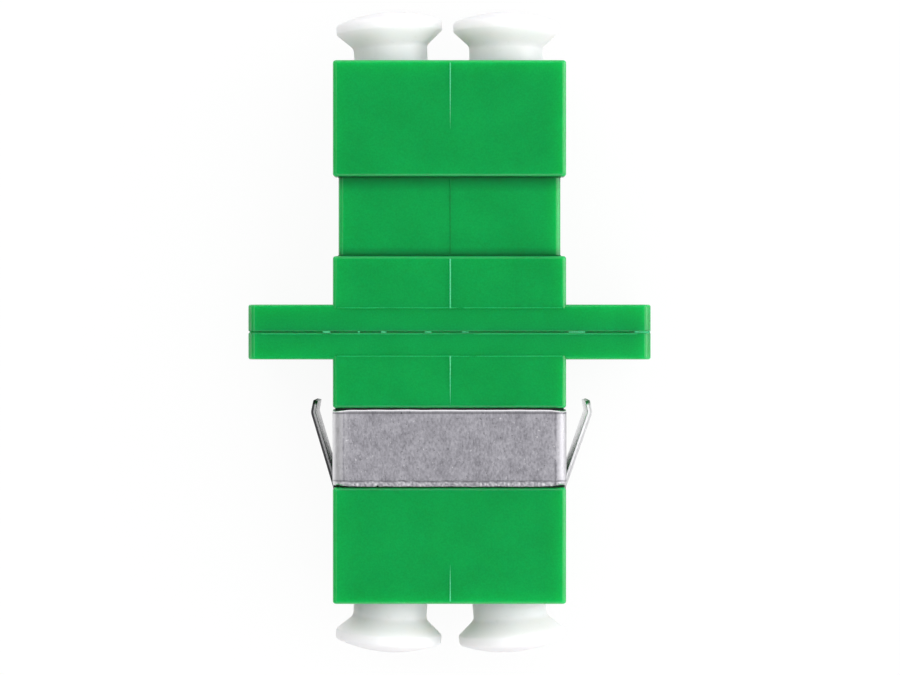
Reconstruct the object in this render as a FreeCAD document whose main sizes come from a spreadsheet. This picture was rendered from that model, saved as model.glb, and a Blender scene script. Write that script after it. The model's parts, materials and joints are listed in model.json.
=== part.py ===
import FreeCAD, Part
import os
from types import SimpleNamespace

import Sketcher

# Duplex coupler for LC plugs. It joins two pairs of fibres through a panel cut-out of 13.0 by 9.5 mm.
# Two moulded halves are welded back to back at the middle of the flange. Each half has two ports with a
# sleeve holder in the middle of each. Two split sleeves float between the halves, one on each fibre axis.
# A folded spring clip sits in the groove of the rear half, and a dust cap plugs each port.
#
# Frame: Y runs along the fibres, +Y towards the front half. X runs across the two ports. +Z is the plain
# wide face and -Z the face with the plug latches. The weld plane is Y = 0, and the body is centred on X and Z.

DIMENSIONS = {
    # Flange, half of its thickness on each half
    "flange_width": "22.0",
    "flange_height": "9.16",
    "flange_thickness": "3.0",
    "flange_corner": "0.37",
    "flange_rim": "0.12",
    "flange_lap": "0.2",
    "screw_pitch": "18.0",
    "screw_hole": "2.4",
    # Body of each half, measured from the weld plane
    "body_width": "12.75",
    "body_height": "9.3",
    "body_corner": "0.25",
    "half_length": "14.85",
    "edge_round": "0.15",
    "weld_bevel": "0.08",
    # Pegs that line the halves up for welding
    "peg_diameter": "1.0",
    "peg_height": "0.7",
    "peg_clearance": "0.04",
    "peg_span_wide": "17.2",
    "peg_span_high": "6.2",
    # Groove for the clip, round all four sides
    "groove_start": "4.15",
    "groove_length": "4.35",
    "groove_depth": "0.3",
    "groove_corner": "0.3",
    # Ports for the plugs, at the standard pitch
    "port_pitch": "6.25",
    "port_size": "4.65",
    "port_rise": "0.875",
    "port_lead_in": "0.25",
    "partition": "0.8",
    "latch_slot_width": "3.0",
    "latch_slot_height": "1.8",
    "latch_ledge": "2.6",
    "latch_pocket_height": "1.6",
    # Split sleeves for ferrules of 1.25 mm, and their holders
    "sleeve_length": "6.8",
    "sleeve_outer": "1.62",
    "sleeve_bore": "1.25",
    "sleeve_slit": "0.3",
    "sleeve_clearance": "0.04",
    "sleeve_end_play": "0.05",
    "holder_wall": "0.6",
    "holder_lip": "0.95",
    "holder_lead_in": "0.2",
    "ferrule_clearance": "0.075",
    "ferrule_mouth": "1.8",
    # Clip, folded from one sheet
    "sheet_thickness": "0.25",
    "clip_width": "4.1",
    "clip_clearance": "0.08",
    "clip_gap": "2.2",
    "foot_length": "0.7",
    "foot_strip": "0.22",
    "foot_ear": "0.55",
    # Sprung tabs of the clip
    "tab_width": "5.0",
    "tab_slit": "0.25",
    "tab_run": "4.26",
    "left_tab_rise": "1.27",
    "right_tab_rise": "1.5",
    "tab_bend": "0.45",
    "tip_run": "0.65",
    "tip_return": "0.13",
    "root_gap": "0.03",
    "root_round": "0.11",
    "bay_depth": "0.56",
    "bay_clearance": "0.1",
    # Dust caps, each seated on one bead and leaning outwards by its own angle
    "cap_neck": "4.1",
    "cap_rim": "5.9",
    "cap_stem": "4.6",
    "cap_bead_depth": "2.3",
    "cap_bead_height": "0.9",
    "cap_bead_clearance": "0.05",
    "cap_bore": "2.7",
    "cap_bore_rise": "0.6",
    "cap_neck_height": "1.1",
    "cap_flare_height": "0.8",
    "cap_rim_height": "0.5",
    "cap_dome_height": "0.6",
    "cap_crown_round": "0.2",
    "cap_rim_round": "0.12",
    "front_left_lean": "3.2",
    "front_right_lean": "0.5",
    "rear_left_lean": "3.6",
    "rear_right_lean": "4.6",
}


class Size:
    """A formula over the cells of the size sheet, kept together with its present value."""

    def __init__(self, formula, value):
        self.formula = formula
        self.value = value

    def join(self, sign, other, value):
        return Size(f"({self.formula} {sign} {other.formula})", value)

    def __add__(self, other):
        other = as_size(other)
        return self.join("+", other, self.value + other.value)

    def __sub__(self, other):
        other = as_size(other)
        return self.join("-", other, self.value - other.value)

    def __mul__(self, other):
        other = as_size(other)
        return self.join("*", other, self.value * other.value)

    def __truediv__(self, other):
        other = as_size(other)
        return self.join("/", other, self.value / other.value)

    def __rsub__(self, other):
        return as_size(other) - self

    def __neg__(self):
        return 0 - self

    __radd__ = __add__
    __rmul__ = __mul__


def as_size(number):
    """Let a plain number stand in a formula."""
    return number if isinstance(number, Size) else Size(repr(float(number)), float(number))


def root_of_squares(across, along):
    """The length of a slope from its two runs."""
    squares = across * across + along * along
    return Size(f"sqrt({squares.formula})", squares.value ** 0.5)


doc = FreeCAD.newDocument("coupler")
sheet = doc.addObject("Spreadsheet::Sheet", "Sizes")
for row, (name, text) in enumerate(DIMENSIONS.items(), 1):
    sheet.set(f"A{row}", name)
    sheet.set(f"B{row}", text)
    sheet.setAlias(f"B{row}", name)
doc.recompute()
d = SimpleNamespace(**{name: Size(f"Sizes.{name}", float(text)) for name, text in DIMENSIONS.items()})

# Heights along a half that more than one piece depends on
groove_end = d.groove_start + d.groove_length
clip_start = d.groove_start + (d.groove_length - d.clip_width) / 2
clip_end = clip_start + d.clip_width
foot_end = clip_end + d.foot_length
window_end = foot_end - d.foot_strip
tab_root = window_end - d.root_gap - d.sheet_thickness / 2
seat_end = d.sleeve_length / 2 + d.sleeve_end_play
holder_end = seat_end + d.holder_lip
longest_leaf = root_of_squares(d.right_tab_rise, d.tab_run)

# Half spans that more than one piece depends on
floor_x = d.body_width / 2 - d.groove_depth
floor_y = d.body_height / 2 - d.groove_depth
clip_inner_x = floor_x + d.clip_clearance
clip_inner_y = floor_y + d.clip_clearance
clip_outer_x = clip_inner_x + d.sheet_thickness
clip_outer_y = clip_inner_y + d.sheet_thickness
tab_root_x = clip_inner_x + d.sheet_thickness / 2
foot_half = d.tab_width / 2 + d.tab_slit + d.foot_ear

SIDES = (-1, 1)
TOLERANCE = 1e-3


# Drawing and shaping

def new_body(name, turn, x=0, y=0, z=0):
    """A sub-part with its own origin, turned into the shared frame and placed by formulas."""
    body = doc.addObject("PartDesign::Body", name)
    body.Label = name
    body.Placement = FreeCAD.Placement(FreeCAD.Vector(0, 0, 0), turn)
    for axis, place in (("x", x), ("y", y), ("z", z)):
        body.setExpression(f"Placement.Base.{axis}", as_size(place).formula)
    return body


def hold(sketch, kind, ends, name, place):
    """Fix one measure of a sketch to a formula."""
    index = sketch.addConstraint(Sketcher.Constraint(kind, *ends, place.value))
    sketch.renameConstraint(index, name)
    sketch.setExpression(f"Constraints.{name}", place.formula)


def hold_point(sketch, element, point, x, y):
    """Fix a point of a sketch by its distances from the sketch's two axes."""
    for axis, place, line in (("X", as_size(x), -2), ("Y", as_size(y), -1)):
        if abs(place.value) < TOLERANCE:
            sketch.addConstraint(Sketcher.Constraint("PointOnObject", element, point, line))
        else:
            hold(sketch, "Distance" + axis, (-1, 1, element, point), f"{axis}{element}at", place)


def dome_arc(rim, crest):
    """An arc from a rim up to the crest on the sketch's upright axis, with its centre on that axis."""
    rise = crest.y - rim.y
    radius = (rim.x ** 2 + rise ** 2) / (2 * rise)
    half_way = rim.x / 2
    height = crest.y - radius + (radius ** 2 - half_way ** 2) ** 0.5
    return Part.Arc(rim, FreeCAD.Vector(half_way, height, 0), crest)


def outline(corners, dome=None):
    """A closed outline through the corners, drawn later into a sketch. The side numbered dome is an arc."""
    def draw(sketch):
        first = sketch.GeometryCount
        count = len(corners)
        points = [FreeCAD.Vector(as_size(x).value, as_size(y).value, 0) for x, y in corners]
        for i in range(count):
            ends = (points[i], points[(i + 1) % count])
            sketch.addGeometry(dome_arc(*ends) if i == dome else Part.LineSegment(*ends))
        if dome is not None:
            sketch.addConstraint(Sketcher.Constraint("PointOnObject", first + dome, 3, -2))
        for i in range(count):
            sketch.addConstraint(Sketcher.Constraint("Coincident", first + i, 2, first + (i + 1) % count, 1))
        for i, (x, y) in enumerate(corners):
            hold_point(sketch, first + i, 1, x, y)
    return draw


def rectangle(left, right, low, high):
    """A rectangle between two pairs of sides."""
    return outline([(left, low), (right, low), (right, high), (left, high)])


def centred(half_x, half_y):
    """A rectangle about the middle of the sketch."""
    return rectangle(-half_x, half_x, -half_y, half_y)


def circle(x, y, diameter):
    """A circle placed by its middle."""
    def draw(sketch):
        middle = FreeCAD.Vector(as_size(x).value, as_size(y).value, 0)
        element = sketch.addGeometry(Part.Circle(middle, FreeCAD.Vector(0, 0, 1), diameter.value / 2))
        hold_point(sketch, element, 3, x, y)
        hold(sketch, "Diameter", (element,), f"Diameter{element}", diameter)
    return draw


def new_sketch(body, name, plane, level, shapes):
    """A sketch on one of the body's origin planes, raised to a level and filled with shapes."""
    sketch = body.newObject("Sketcher::SketchObject", name + "_sketch")
    support = next(item for item in body.Origin.OriginFeatures if item.Role == plane)
    sketch.AttachmentSupport = (support, [""])
    sketch.MapMode = "FlatFace"
    sketch.setExpression("AttachmentOffset.Base.z", as_size(level).formula)
    for draw in shapes:
        draw(sketch)
    doc.recompute()
    return sketch


def extrude(body, kind, name, level, length, shapes, plane="XY_Plane", symmetric=False):
    """Add or cut a straight run. A pad rises from its level, and a pocket goes down from it."""
    sketch = new_sketch(body, name, plane, level, shapes)
    before = body.Shape.Volume if body.Tip else 0.0
    feature = body.newObject("PartDesign::" + kind, name)
    feature.Profile = sketch
    feature.setExpression("Length", as_size(length).formula)
    if symmetric:
        feature.SideType = "Symmetric"
    doc.recompute()
    grown = feature.Shape.Volume - before
    if (grown > 0) != (kind == "Pad"):
        raise RuntimeError(f"{body.Label}: {name} changed the volume by {grown:.4f}")
    return feature


def pad(*arguments, **options):
    return extrude(arguments[0], "Pad", *arguments[1:], **options)


def pocket(*arguments, **options):
    return extrude(arguments[0], "Pocket", *arguments[1:], **options)


def funnel(body, name, x, y, level, height, narrow, wide):
    """Cut a cone that widens upwards from its level."""
    before = body.Shape.Volume
    cone = body.newObject("PartDesign::SubtractiveCone", name)
    base = next(item for item in body.Origin.OriginFeatures if item.Role == "XY_Plane")
    cone.AttachmentSupport = (base, [""])
    cone.MapMode = "FlatFace"
    for axis, place in (("x", x), ("y", y), ("z", level)):
        cone.setExpression(f"AttachmentOffset.Base.{axis}", as_size(place).formula)
    cone.setExpression("Radius1", (narrow / 2).formula)
    cone.setExpression("Radius2", (wide / 2).formula)
    cone.setExpression("Height", height.formula)
    doc.recompute()
    if cone.Shape.Volume >= before:
        raise RuntimeError(f"{body.Label}: {name} cut nothing")
    return cone


def soften(body, kind, name, size, wanted):
    """Round or bevel every edge of the body so far whose middle and box pass the test."""
    base = body.Tip
    names = []
    for number, edge in enumerate(base.Shape.Edges, 1):
        middle = edge.valueAt((edge.FirstParameter + edge.LastParameter) / 2)
        if wanted(middle, edge.BoundBox):
            names.append(f"Edge{number}")
    if not names:
        raise RuntimeError(f"{body.Label}: {name} found no edge")
    feature = body.newObject("PartDesign::" + kind, name)
    feature.Base = (base, names)
    feature.setExpression("Radius" if kind == "Fillet" else "Size", as_size(size).formula)
    doc.recompute()
    return feature


def near(number, place):
    return abs(abs(number) - as_size(place).value) < TOLERANCE


def upright(box):
    return box.XLength < TOLERANCE and box.YLength < TOLERANCE


def flat(box):
    return box.ZLength < TOLERANCE


def across(box):
    return box.XLength < TOLERANCE and box.ZLength < TOLERANCE


# Housing halves, each drawn standing on its weld face with y towards the latch side

def build_half(name, turn):
    body = new_body(name, turn)
    port_y = -d.port_rise
    port_edge = port_y + d.port_size / 2
    body_x = d.body_width / 2
    body_y = d.body_height / 2
    port_xs = [side * d.port_pitch / 2 for side in SIDES]

    # Flange half, bevelled at its corners and rounded along its rim
    half_flange = d.flange_thickness / 2
    pad(body, "flange", 0, half_flange, [centred(d.flange_width / 2, d.flange_height / 2)])
    soften(body, "Chamfer", "flange_corners", d.flange_corner, lambda middle, box: upright(box))
    soften(body, "Fillet", "flange_rims", d.flange_rim,
           lambda middle, box: flat(box) and near(middle.z, half_flange))
    soften(body, "Chamfer", "weld_edge", d.weld_bevel, lambda middle, box: flat(box) and near(middle.z, 0))

    # Block with the clip groove, which laps over the rim of the flange
    shoulder = half_flange - d.flange_lap
    pad(body, "block", shoulder, d.half_length - shoulder, [centred(body_x, body_y)])
    soften(body, "Fillet", "block_corners", d.body_corner,
           lambda middle, box: box.ZMax > half_flange.value + TOLERANCE and upright(box))
    ring = [centred(body_x + d.groove_depth, body_y + d.groove_depth), centred(floor_x, floor_y)]
    pocket(body, "clip_groove", groove_end, d.groove_length, ring)
    soften(body, "Fillet", "groove_corners", d.groove_corner,
           lambda middle, box: upright(box) and near(middle.x, floor_x) and near(middle.y, floor_y))

    def on_rim(middle, box):
        outside = abs(middle.x) > floor_x.value + TOLERANCE or abs(middle.y) > floor_y.value + TOLERANCE
        levels = (d.half_length, d.groove_start, groove_end)
        return flat(box) and outside and any(near(middle.z, level) for level in levels)

    soften(body, "Fillet", "rims", d.edge_round, on_rim)

    # Screw holes through the flange
    pocket(body, "screw_holes", half_flange, half_flange,
           [circle(side * d.screw_pitch / 2, 0, d.screw_hole) for side in SIDES])

    # Bays in the narrow sides that the pressed tabs sink into
    bay_start = tab_root - longest_leaf - d.tip_run - d.bay_clearance
    bay = rectangle(-(foot_half + d.bay_clearance), foot_half + d.bay_clearance,
                    bay_start, foot_end + d.bay_clearance)
    for label, level in (("right", body_x), ("left", d.bay_depth - body_x)):
        pocket(body, "bay_" + label, level, d.bay_depth, [bay], plane="YZ_Plane")

    # Ports with a slot for the plug's latch, a ledge and a pocket behind the ledge
    reach = d.port_size / 2
    slot_top = port_edge + d.latch_slot_height
    pocket(body, "ports", d.half_length, d.half_length - d.partition,
           [rectangle(x - reach, x + reach, port_y - reach, port_edge) for x in port_xs])
    pocket(body, "latch_slots", d.half_length, d.latch_ledge,
           [rectangle(x - d.latch_slot_width / 2, x + d.latch_slot_width / 2, port_y, slot_top)
            for x in port_xs])
    ledge_level = d.half_length - d.latch_ledge
    pocket(body, "latch_pockets", ledge_level, ledge_level,
           [rectangle(x - reach, x + reach, port_edge, port_edge + d.latch_pocket_height) for x in port_xs])
    mouth_x = d.port_pitch / 2 + reach
    mouth_low = port_y - reach

    def on_mouth(middle, box):
        between = mouth_low.value - TOLERANCE < middle.y < slot_top.value + TOLERANCE
        inside = between and abs(middle.x) < mouth_x.value + TOLERANCE
        return flat(box) and near(middle.z, d.half_length) and inside

    soften(body, "Chamfer", "port_lead_ins", d.port_lead_in, on_mouth)

    # Sleeve holders, each with a seat for half a sleeve and a conical lip that keeps it in
    seat = d.sleeve_outer + 2 * d.sleeve_clearance
    lip = d.sleeve_bore + 2 * d.ferrule_clearance
    holder = seat + 2 * d.holder_wall
    pad(body, "sleeve_holders", 0, holder_end, [circle(x, port_y, holder) for x in port_xs])
    pocket(body, "sleeve_seats", seat_end, seat_end, [circle(x, port_y, seat) for x in port_xs])
    for label, x in zip(("left", "right"), port_xs):
        funnel(body, "ferrule_hole_" + label, x, port_y, seat_end, d.holder_lip, lip, d.ferrule_mouth)
    soften(body, "Chamfer", "holder_lead_ins", d.holder_lead_in,
           lambda middle, box: flat(box) and near(middle.z, holder_end) and near(box.XLength, holder))

    # Two pegs and two sockets, so that one mould makes both halves
    peg_x = d.peg_span_wide / 2
    peg_y = d.peg_span_high / 2
    pad(body, "pegs", -d.peg_height, d.peg_height,
        [circle(side * peg_x, side * peg_y, d.peg_diameter) for side in SIDES])
    socket = d.peg_height + d.peg_clearance
    pocket(body, "sockets", socket, socket,
           [circle(-side * peg_x, side * peg_y, d.peg_diameter + 2 * d.peg_clearance) for side in SIDES])
    return body


# Split sleeves, with the slit towards the middle of the body

def build_sleeve(name, turn, side):
    body = new_body(name, turn, x=side * d.port_pitch / 2, z=d.port_rise)
    wall = [circle(0, 0, d.sleeve_outer), circle(0, 0, d.sleeve_bore)]
    pad(body, "tube", 0, d.sleeve_length, wall, symmetric=True)
    slit = rectangle(0, -side * d.sleeve_outer, -d.sleeve_slit / 2, d.sleeve_slit / 2)
    pocket(body, "slit", 0, d.sleeve_length, [slit], symmetric=True)
    return body


# Clip band, open at the back and slit beside each tab

def build_clip(name, turn):
    body = new_body(name, turn)
    pad(body, "band", clip_start, d.clip_width + d.foot_length, [centred(clip_outer_x, clip_outer_y)])
    inner_bend = d.groove_corner + d.clip_clearance
    soften(body, "Fillet", "outer_bends", inner_bend + d.sheet_thickness, lambda middle, box: upright(box))
    pocket(body, "inside", foot_end, d.clip_width + d.foot_length, [centred(clip_inner_x, clip_inner_y)])
    soften(body, "Fillet", "inner_bends", inner_bend,
           lambda middle, box: upright(box) and near(middle.x, clip_inner_x) and near(middle.y, clip_inner_y))
    beyond = 2 * clip_outer_x
    waste = [rectangle(-clip_outer_y, -foot_half, clip_end, foot_end),
             rectangle(foot_half, clip_outer_y, clip_end, foot_end)]
    pocket(body, "beside_feet", 0, beyond, waste, plane="YZ_Plane", symmetric=True)
    window_half = d.tab_width / 2 + d.tab_slit
    pocket(body, "tab_windows", 0, beyond, [rectangle(-window_half, window_half, clip_start, window_end)],
           plane="YZ_Plane", symmetric=True)
    pocket(body, "back_gap", clip_end, d.clip_width, [rectangle(-d.clip_gap / 2, d.clip_gap / 2, 0, clip_outer_y)])
    return body


# Sprung tabs, each leaning out from its root and turned in again at the tip

def build_tab(name, turn, rise):
    body = new_body(name, turn)
    edge = d.sheet_thickness * root_of_squares(rise, d.tab_run) / d.tab_run / 2
    root_end = tab_root + d.sheet_thickness / 2
    bend_z = tab_root - d.tab_run
    tip_z = bend_z - d.tip_run
    bend_x = tab_root_x + rise
    tip_x = bend_x - d.tip_return
    foot_x = tab_root_x - rise * d.sheet_thickness / (2 * d.tab_run)
    middle_line = [(foot_x, root_end), (bend_x, bend_z), (tip_x, tip_z)]
    strip = [(x - edge, z) for x, z in middle_line] + [(x + edge, z) for x, z in reversed(middle_line)]
    pad(body, "leaf", 0, d.tab_width, [outline(strip)], plane="XZ_Plane", symmetric=True)

    def at(x, z):
        return lambda middle, box: across(box) and near(middle.x, x) and near(middle.z, z)

    soften(body, "Fillet", "inner_bend", d.tab_bend, at(bend_x - edge, bend_z))
    soften(body, "Fillet", "outer_bend", d.tab_bend + d.sheet_thickness, at(bend_x + edge, bend_z))
    soften(body, "Fillet", "root", d.root_round,
           lambda middle, box: across(box) and near(middle.z, root_end))
    return body


# Dust caps, drawn as a half section with the bead at the origin and y along the stem

def build_cap(name, side, end, lean):
    angle = -side * lean if end > 0 else 180 + side * lean
    seat_y = end * (d.half_length - d.cap_bead_depth)
    body = new_body(name, FreeCAD.Rotation(FreeCAD.Vector(0, 0, 1), angle.value),
                    x=side * d.port_pitch / 2, y=seat_y, z=d.port_rise)
    body.setExpression("Placement.Rotation.Angle", angle.formula)
    neck = d.cap_neck / 2
    bead = d.port_size / 2 - d.cap_bead_clearance
    rim = d.cap_rim / 2
    bore = d.cap_bore / 2
    bead_half = d.cap_bead_height / 2
    bead_flat = bead_half / 3
    stem_end = d.cap_bead_depth - d.cap_stem
    bore_end = d.cap_bead_depth + d.cap_bore_rise
    flare = d.cap_bead_depth + d.cap_neck_height
    rim_low = flare + d.cap_flare_height
    rim_high = rim_low + d.cap_rim_height
    crown = rim_high + d.cap_dome_height
    section = [(0, bore_end), (bore, bore_end), (bore, stem_end), (neck, stem_end), (neck, -bead_half),
               (bead, -bead_flat), (bead, bead_flat), (neck, bead_half), (neck, flare),
               (rim, rim_low), (rim, rim_high), (0, crown)]
    dome = section.index((rim, rim_high))
    sketch = new_sketch(body, "section", "XY_Plane", 0, [outline(section, dome)])
    turned = body.newObject("PartDesign::Revolution", "turned")
    turned.Profile = sketch
    turned.ReferenceAxis = (sketch, ["V_Axis"])
    turned.Angle = 360
    doc.recompute()

    def ring(radius, height):
        return lambda middle, box: (near(box.XLength / 2, radius) and near(box.ZLength / 2, radius)
                                    and abs(middle.y - height.value) < TOLERANCE)

    soften(body, "Fillet", "crown_edge", d.cap_crown_round, ring(rim, rim_high))
    soften(body, "Fillet", "rim_edge", d.cap_rim_round, ring(rim, rim_low))
    soften(body, "Fillet", "neck_edge", d.cap_flare_height / 2, ring(neck, flare))
    soften(body, "Fillet", "stem_edge", d.cap_rim_round, ring(neck, stem_end))
    return body


# Assembly in the shared frame

X_AXIS = FreeCAD.Vector(1, 0, 0)
Z_AXIS = FreeCAD.Vector(0, 0, 1)
FORWARD = FreeCAD.Rotation(X_AXIS, -90)
BACKWARD = FreeCAD.Rotation(Z_AXIS, 180) * FORWARD
BACKWARD_OVER = FreeCAD.Rotation(X_AXIS, 90)

pieces = [
    build_half("front_housing", FORWARD),
    build_half("rear_housing", BACKWARD),
    build_sleeve("left_sleeve", FORWARD, -1),
    build_sleeve("right_sleeve", FORWARD, 1),
    build_clip("panel_clip", BACKWARD),
    build_tab("left_clip_tab", BACKWARD, d.left_tab_rise),
    build_tab("right_clip_tab", BACKWARD_OVER, d.right_tab_rise),
]
for end, end_name in ((1, "front"), (-1, "rear")):
    for side, side_name in ((-1, "left"), (1, "right")):
        lean = getattr(d, f"{end_name}_{side_name}_lean")
        pieces.append(build_cap(f"{end_name}_{side_name}_cap", side, end, lean))
doc.recompute()

# Checks before anything is written
for item in doc.Objects:
    if "Invalid" in item.State or "Error" in item.State:
        raise RuntimeError(f"{item.Label} did not build: {item.State}")
for piece in pieces:
    if piece.Shape.isNull() or not piece.Shape.isValid() or len(piece.Shape.Solids) != 1:
        raise RuntimeError(f"{piece.Label} is not one valid solid")

os.makedirs("parts", exist_ok=True)
for piece in pieces:
    piece.Shape.exportStep(f"parts/{piece.Label}.step")
    box = piece.Shape.BoundBox
    print(f"{piece.Label}: {piece.Shape.Volume:.2f} mm3, X {box.XMin:.3f} to {box.XMax:.3f}, "
          f"Y {box.YMin:.3f} to {box.YMax:.3f}, Z {box.ZMin:.3f} to {box.ZMax:.3f}")
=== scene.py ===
# %% [markdown]
# A coupler for optical fibres: a green moulded body that sits in a panel, with two ports at each end,
# a sprung steel clip folded round one half, and a white dust cap in every port.
# The construction model gives every solid at its real size, in metres, in one fixed frame.
# This lesson leaves those solids where they are. It gives them the surfaces of the real thing,
# and the small marks that moulding, welding, shearing and folding leave behind.

# %% Load the solids
import json
import math

import bmesh
import bpy
from mathutils import Matrix, Vector, noise

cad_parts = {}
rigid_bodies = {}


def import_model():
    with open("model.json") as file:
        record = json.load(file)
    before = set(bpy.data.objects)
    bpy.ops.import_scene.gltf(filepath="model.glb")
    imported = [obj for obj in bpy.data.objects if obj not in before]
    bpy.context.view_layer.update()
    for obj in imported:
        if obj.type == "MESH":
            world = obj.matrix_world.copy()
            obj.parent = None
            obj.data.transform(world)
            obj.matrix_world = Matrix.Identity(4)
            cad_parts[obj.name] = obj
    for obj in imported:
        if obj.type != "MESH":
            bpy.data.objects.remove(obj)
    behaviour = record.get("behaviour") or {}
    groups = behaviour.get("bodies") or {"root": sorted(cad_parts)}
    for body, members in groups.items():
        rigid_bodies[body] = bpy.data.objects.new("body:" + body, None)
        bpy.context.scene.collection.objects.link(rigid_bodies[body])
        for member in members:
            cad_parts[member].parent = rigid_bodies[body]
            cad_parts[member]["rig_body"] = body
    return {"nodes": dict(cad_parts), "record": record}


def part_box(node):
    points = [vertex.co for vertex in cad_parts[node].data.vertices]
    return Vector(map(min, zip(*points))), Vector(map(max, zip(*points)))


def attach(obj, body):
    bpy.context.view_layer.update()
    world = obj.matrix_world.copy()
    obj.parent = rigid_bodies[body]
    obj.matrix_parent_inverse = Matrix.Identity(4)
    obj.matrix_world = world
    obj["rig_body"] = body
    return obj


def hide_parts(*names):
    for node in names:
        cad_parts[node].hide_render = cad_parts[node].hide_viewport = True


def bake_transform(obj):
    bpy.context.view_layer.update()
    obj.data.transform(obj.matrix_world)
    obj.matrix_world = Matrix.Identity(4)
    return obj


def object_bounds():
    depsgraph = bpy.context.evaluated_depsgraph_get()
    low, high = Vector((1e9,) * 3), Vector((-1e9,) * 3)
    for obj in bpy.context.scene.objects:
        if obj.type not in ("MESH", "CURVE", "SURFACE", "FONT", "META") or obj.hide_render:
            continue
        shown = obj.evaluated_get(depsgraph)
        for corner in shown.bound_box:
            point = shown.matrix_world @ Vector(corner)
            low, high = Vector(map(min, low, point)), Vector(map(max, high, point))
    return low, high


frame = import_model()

MM = 0.001
cad_low, cad_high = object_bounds()
scene = bpy.context.scene
scene.view_settings.view_transform = "Standard"
print("solids:", sorted(frame["nodes"]))

# %% [markdown]
# The camera looks straight down on the plain wide face, as one would lay a small part on a table and
# photograph it from above. A long lens from a hand's length away keeps the perspective gentle.
# The lens follows from one fact, how many pixels a metre would take on that face.

# %% Camera
IMAGE_WIDTH = 900
IMAGE_HEIGHT = 675
PIXELS_PER_METRE = 18330
WELD_MIDDLE_PIXEL = (449.5, 332.0)
CAMERA_HEIGHT = 150 * MM
CLIP_START = 10 * MM
plain_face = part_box("front_housing")[1].z

camera_data = bpy.data.cameras.new("camera")
camera_data.lens = camera_data.sensor_width * CAMERA_HEIGHT * PIXELS_PER_METRE / IMAGE_WIDTH
camera_data.clip_start = CLIP_START
camera = bpy.data.objects.new("camera", camera_data)
camera.location = (
    (IMAGE_WIDTH / 2 - WELD_MIDDLE_PIXEL[0]) / PIXELS_PER_METRE,
    (WELD_MIDDLE_PIXEL[1] - IMAGE_HEIGHT / 2) / PIXELS_PER_METRE,
    plain_face + CAMERA_HEIGHT,
)
scene.collection.objects.link(camera)
scene.camera = camera
print("lens:", round(camera_data.lens, 1), "mm")

# %% [markdown]
# Finishes are written as sums. A wire is one output of a node, and arithmetic on wires adds the Math
# nodes that do it, so that `1 - mask` reads as it would on paper. The same nodes could be added and
# linked one at a time, but then the sum would be lost among them.

# %% Wires
class Wire:
    """One output of a node. Arithmetic on it adds Math nodes to its tree."""

    def __init__(self, nodes, socket):
        self.nodes = nodes
        self.socket = socket

    def reckon(self, operation, first, second):
        return self.nodes.add("ShaderNodeMath", {"operation": operation}, {0: first, 1: second})

    def __add__(self, other):
        return self.reckon("ADD", self, other)

    def __sub__(self, other):
        return self.reckon("SUBTRACT", self, other)

    def __rsub__(self, other):
        return self.reckon("SUBTRACT", other, self)

    def __mul__(self, other):
        return self.reckon("MULTIPLY", self, other)

    def __truediv__(self, other):
        return self.reckon("DIVIDE", self, other)

    def __rtruediv__(self, other):
        return self.reckon("DIVIDE", other, self)

    __radd__ = __add__
    __rmul__ = __mul__


print("wires take", "+ - * /")

# %% [markdown]
# Every other node comes from one method. It sets the node's own settings first, then its sockets,
# because a setting can change which sockets there are. Materials, the world and Geometry Nodes are
# all trees of nodes, so one class serves them all.

# %% Trees of nodes
class Nodes:
    """A tree of nodes that is built up one node at a time."""

    def __init__(self, tree):
        self.tree = tree
        tree.nodes.clear()

    def add(self, kind, settings=None, inputs=None, output=0):
        node = self.tree.nodes.new(kind)
        for name, value in (settings or {}).items():
            setattr(node, name, value)
        for key, value in (inputs or {}).items():
            if isinstance(value, Wire):
                self.tree.links.new(value.socket, node.inputs[key])
            else:
                node.inputs[key].default_value = value
        return Wire(self, node.outputs[output] if node.outputs else None)

    def spread(self, value, low, high, to_low=0.0, to_high=1.0):
        """Stretches the values between low and high over another range, and stops at its ends."""
        names = ("From Min", "From Max", "To Min", "To Max")
        limits = dict(zip(names, (low, high, to_low, to_high)))
        return self.add("ShaderNodeMapRange", None, {"Value": value, **limits})

    def mix(self, share, first, second):
        """A colour between two colours."""
        return self.add("ShaderNodeMix", {"data_type": "RGBA"}, {0: share, 6: first, 7: second}, 2)


print("a tree can", [name for name in vars(Nodes) if not name.startswith("_")])

# %% [markdown]
# A finish is a tree that ends in one surface shader. Its patterns are measured in millimetres on the
# piece itself, so they have their real size and move with it. Noise keeps mostly to the middle of its
# range, so a helper stretches that middle over the values that a finish needs.

# %% Finishes
NOISE_LOW = 0.3
NOISE_HIGH = 0.7


class Finish(Nodes):
    """A material whose patterns are measured in millimetres on the piece."""

    def __init__(self, name):
        self.material = bpy.data.materials.new(name)
        self.material.use_nodes = True
        super().__init__(self.material.node_tree)
        self.place = self.stretched((1, 1, 1))

    def stretched(self, scale):
        """Places on the piece in millimetres, squeezed along its axes."""
        plain = self.add("ShaderNodeTexCoord", output="Object")
        per_metre = tuple(part / MM for part in scale)
        return self.add("ShaderNodeMapping", None, {"Vector": plain, "Scale": per_metre})

    def grain(self, size, detail=2.0, place=None):
        """Soft noise whose lumps are about the given size in millimetres."""
        sockets = {"Vector": place or self.place, "Scale": 1 / size, "Detail": detail}
        return self.add("ShaderNodeTexNoise", None, sockets)

    def between(self, grain, low, high):
        """Values from low to high that follow a grain."""
        return self.spread(grain, NOISE_LOW, NOISE_HIGH, low, high)

    def bump(self, height, depth):
        """A relief of the given depth in millimetres."""
        return self.add("ShaderNodeBump", None, {"Height": height, "Distance": depth * MM})

    def shade(self, **sockets):
        """Ends the material in one surface shader."""
        named = {name.replace("_", " "): value for name, value in sockets.items()}
        surface = self.add("ShaderNodeBsdfPrincipled", None, named)
        self.add("ShaderNodeOutputMaterial", None, {"Surface": surface})


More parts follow.
